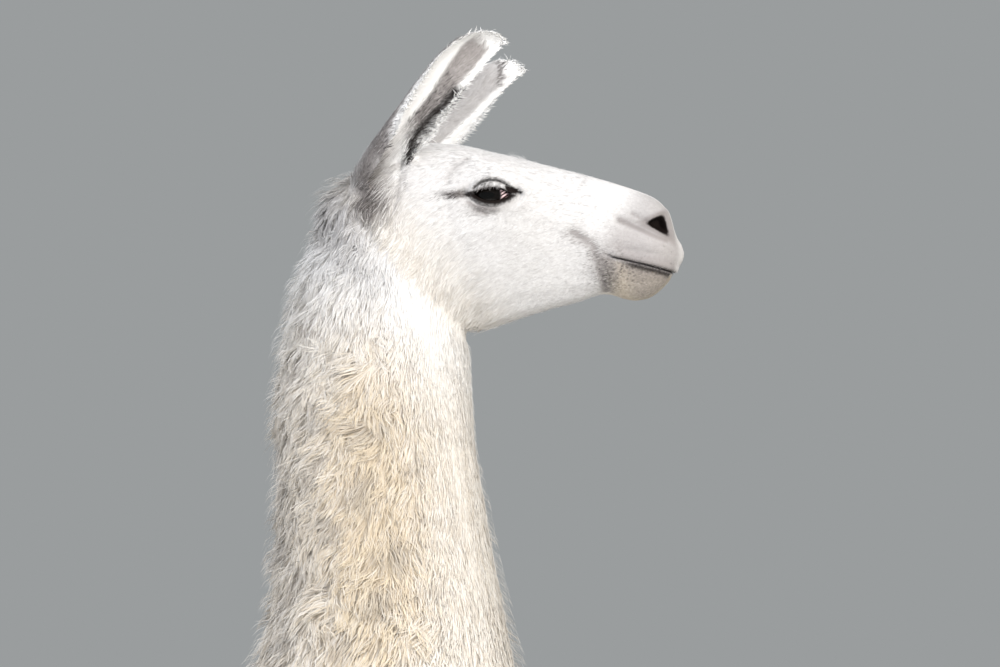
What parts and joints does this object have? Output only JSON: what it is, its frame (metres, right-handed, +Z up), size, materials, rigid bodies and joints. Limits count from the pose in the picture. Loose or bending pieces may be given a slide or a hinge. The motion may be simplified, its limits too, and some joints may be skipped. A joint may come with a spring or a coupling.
{
  "type": "llama",
  "caption": "Life-size standing llama with a woolly neck and body, upright ears and two-toed feet, a still display model.",
  "frame": {"origin": "on the floor, under the middle of the animal's length and width, level with its soles", "axes": "+X is the way the llama faces, +Y its left side, +Z up"},
  "size_m": [1.3156, 0.4364, 1.7933],
  "materials": {
    "wool": "matte",
    "short_hair": "matte",
    "eye": "polished",
    "nail": "satin"
  },
  "bodies": {
    "root": {"head": "wool", "neck": "wool", "trunk": "wool", "tail": "wool", "ear_left": "wool", "ear_right": "wool", "fore_leg_left": "wool", "hind_leg_left": "wool", "fore_leg_right": "wool", "hind_leg_right": "wool", "fore_foot_left": "short_hair", "hind_foot_left": "short_hair", "fore_foot_right": "short_hair", "hind_foot_right": "short_hair", "eye_left": "eye", "eye_right": "eye", "nail_fore_left_outer": "nail", "nail_fore_left_inner": "nail", "nail_hind_left_outer": "nail", "nail_hind_left_inner": "nail", "nail_fore_right_outer": "nail", "nail_fore_right_inner": "nail", "nail_hind_right_outer": "nail", "nail_hind_right_inner": "nail"}
  },
  "joints": []
}
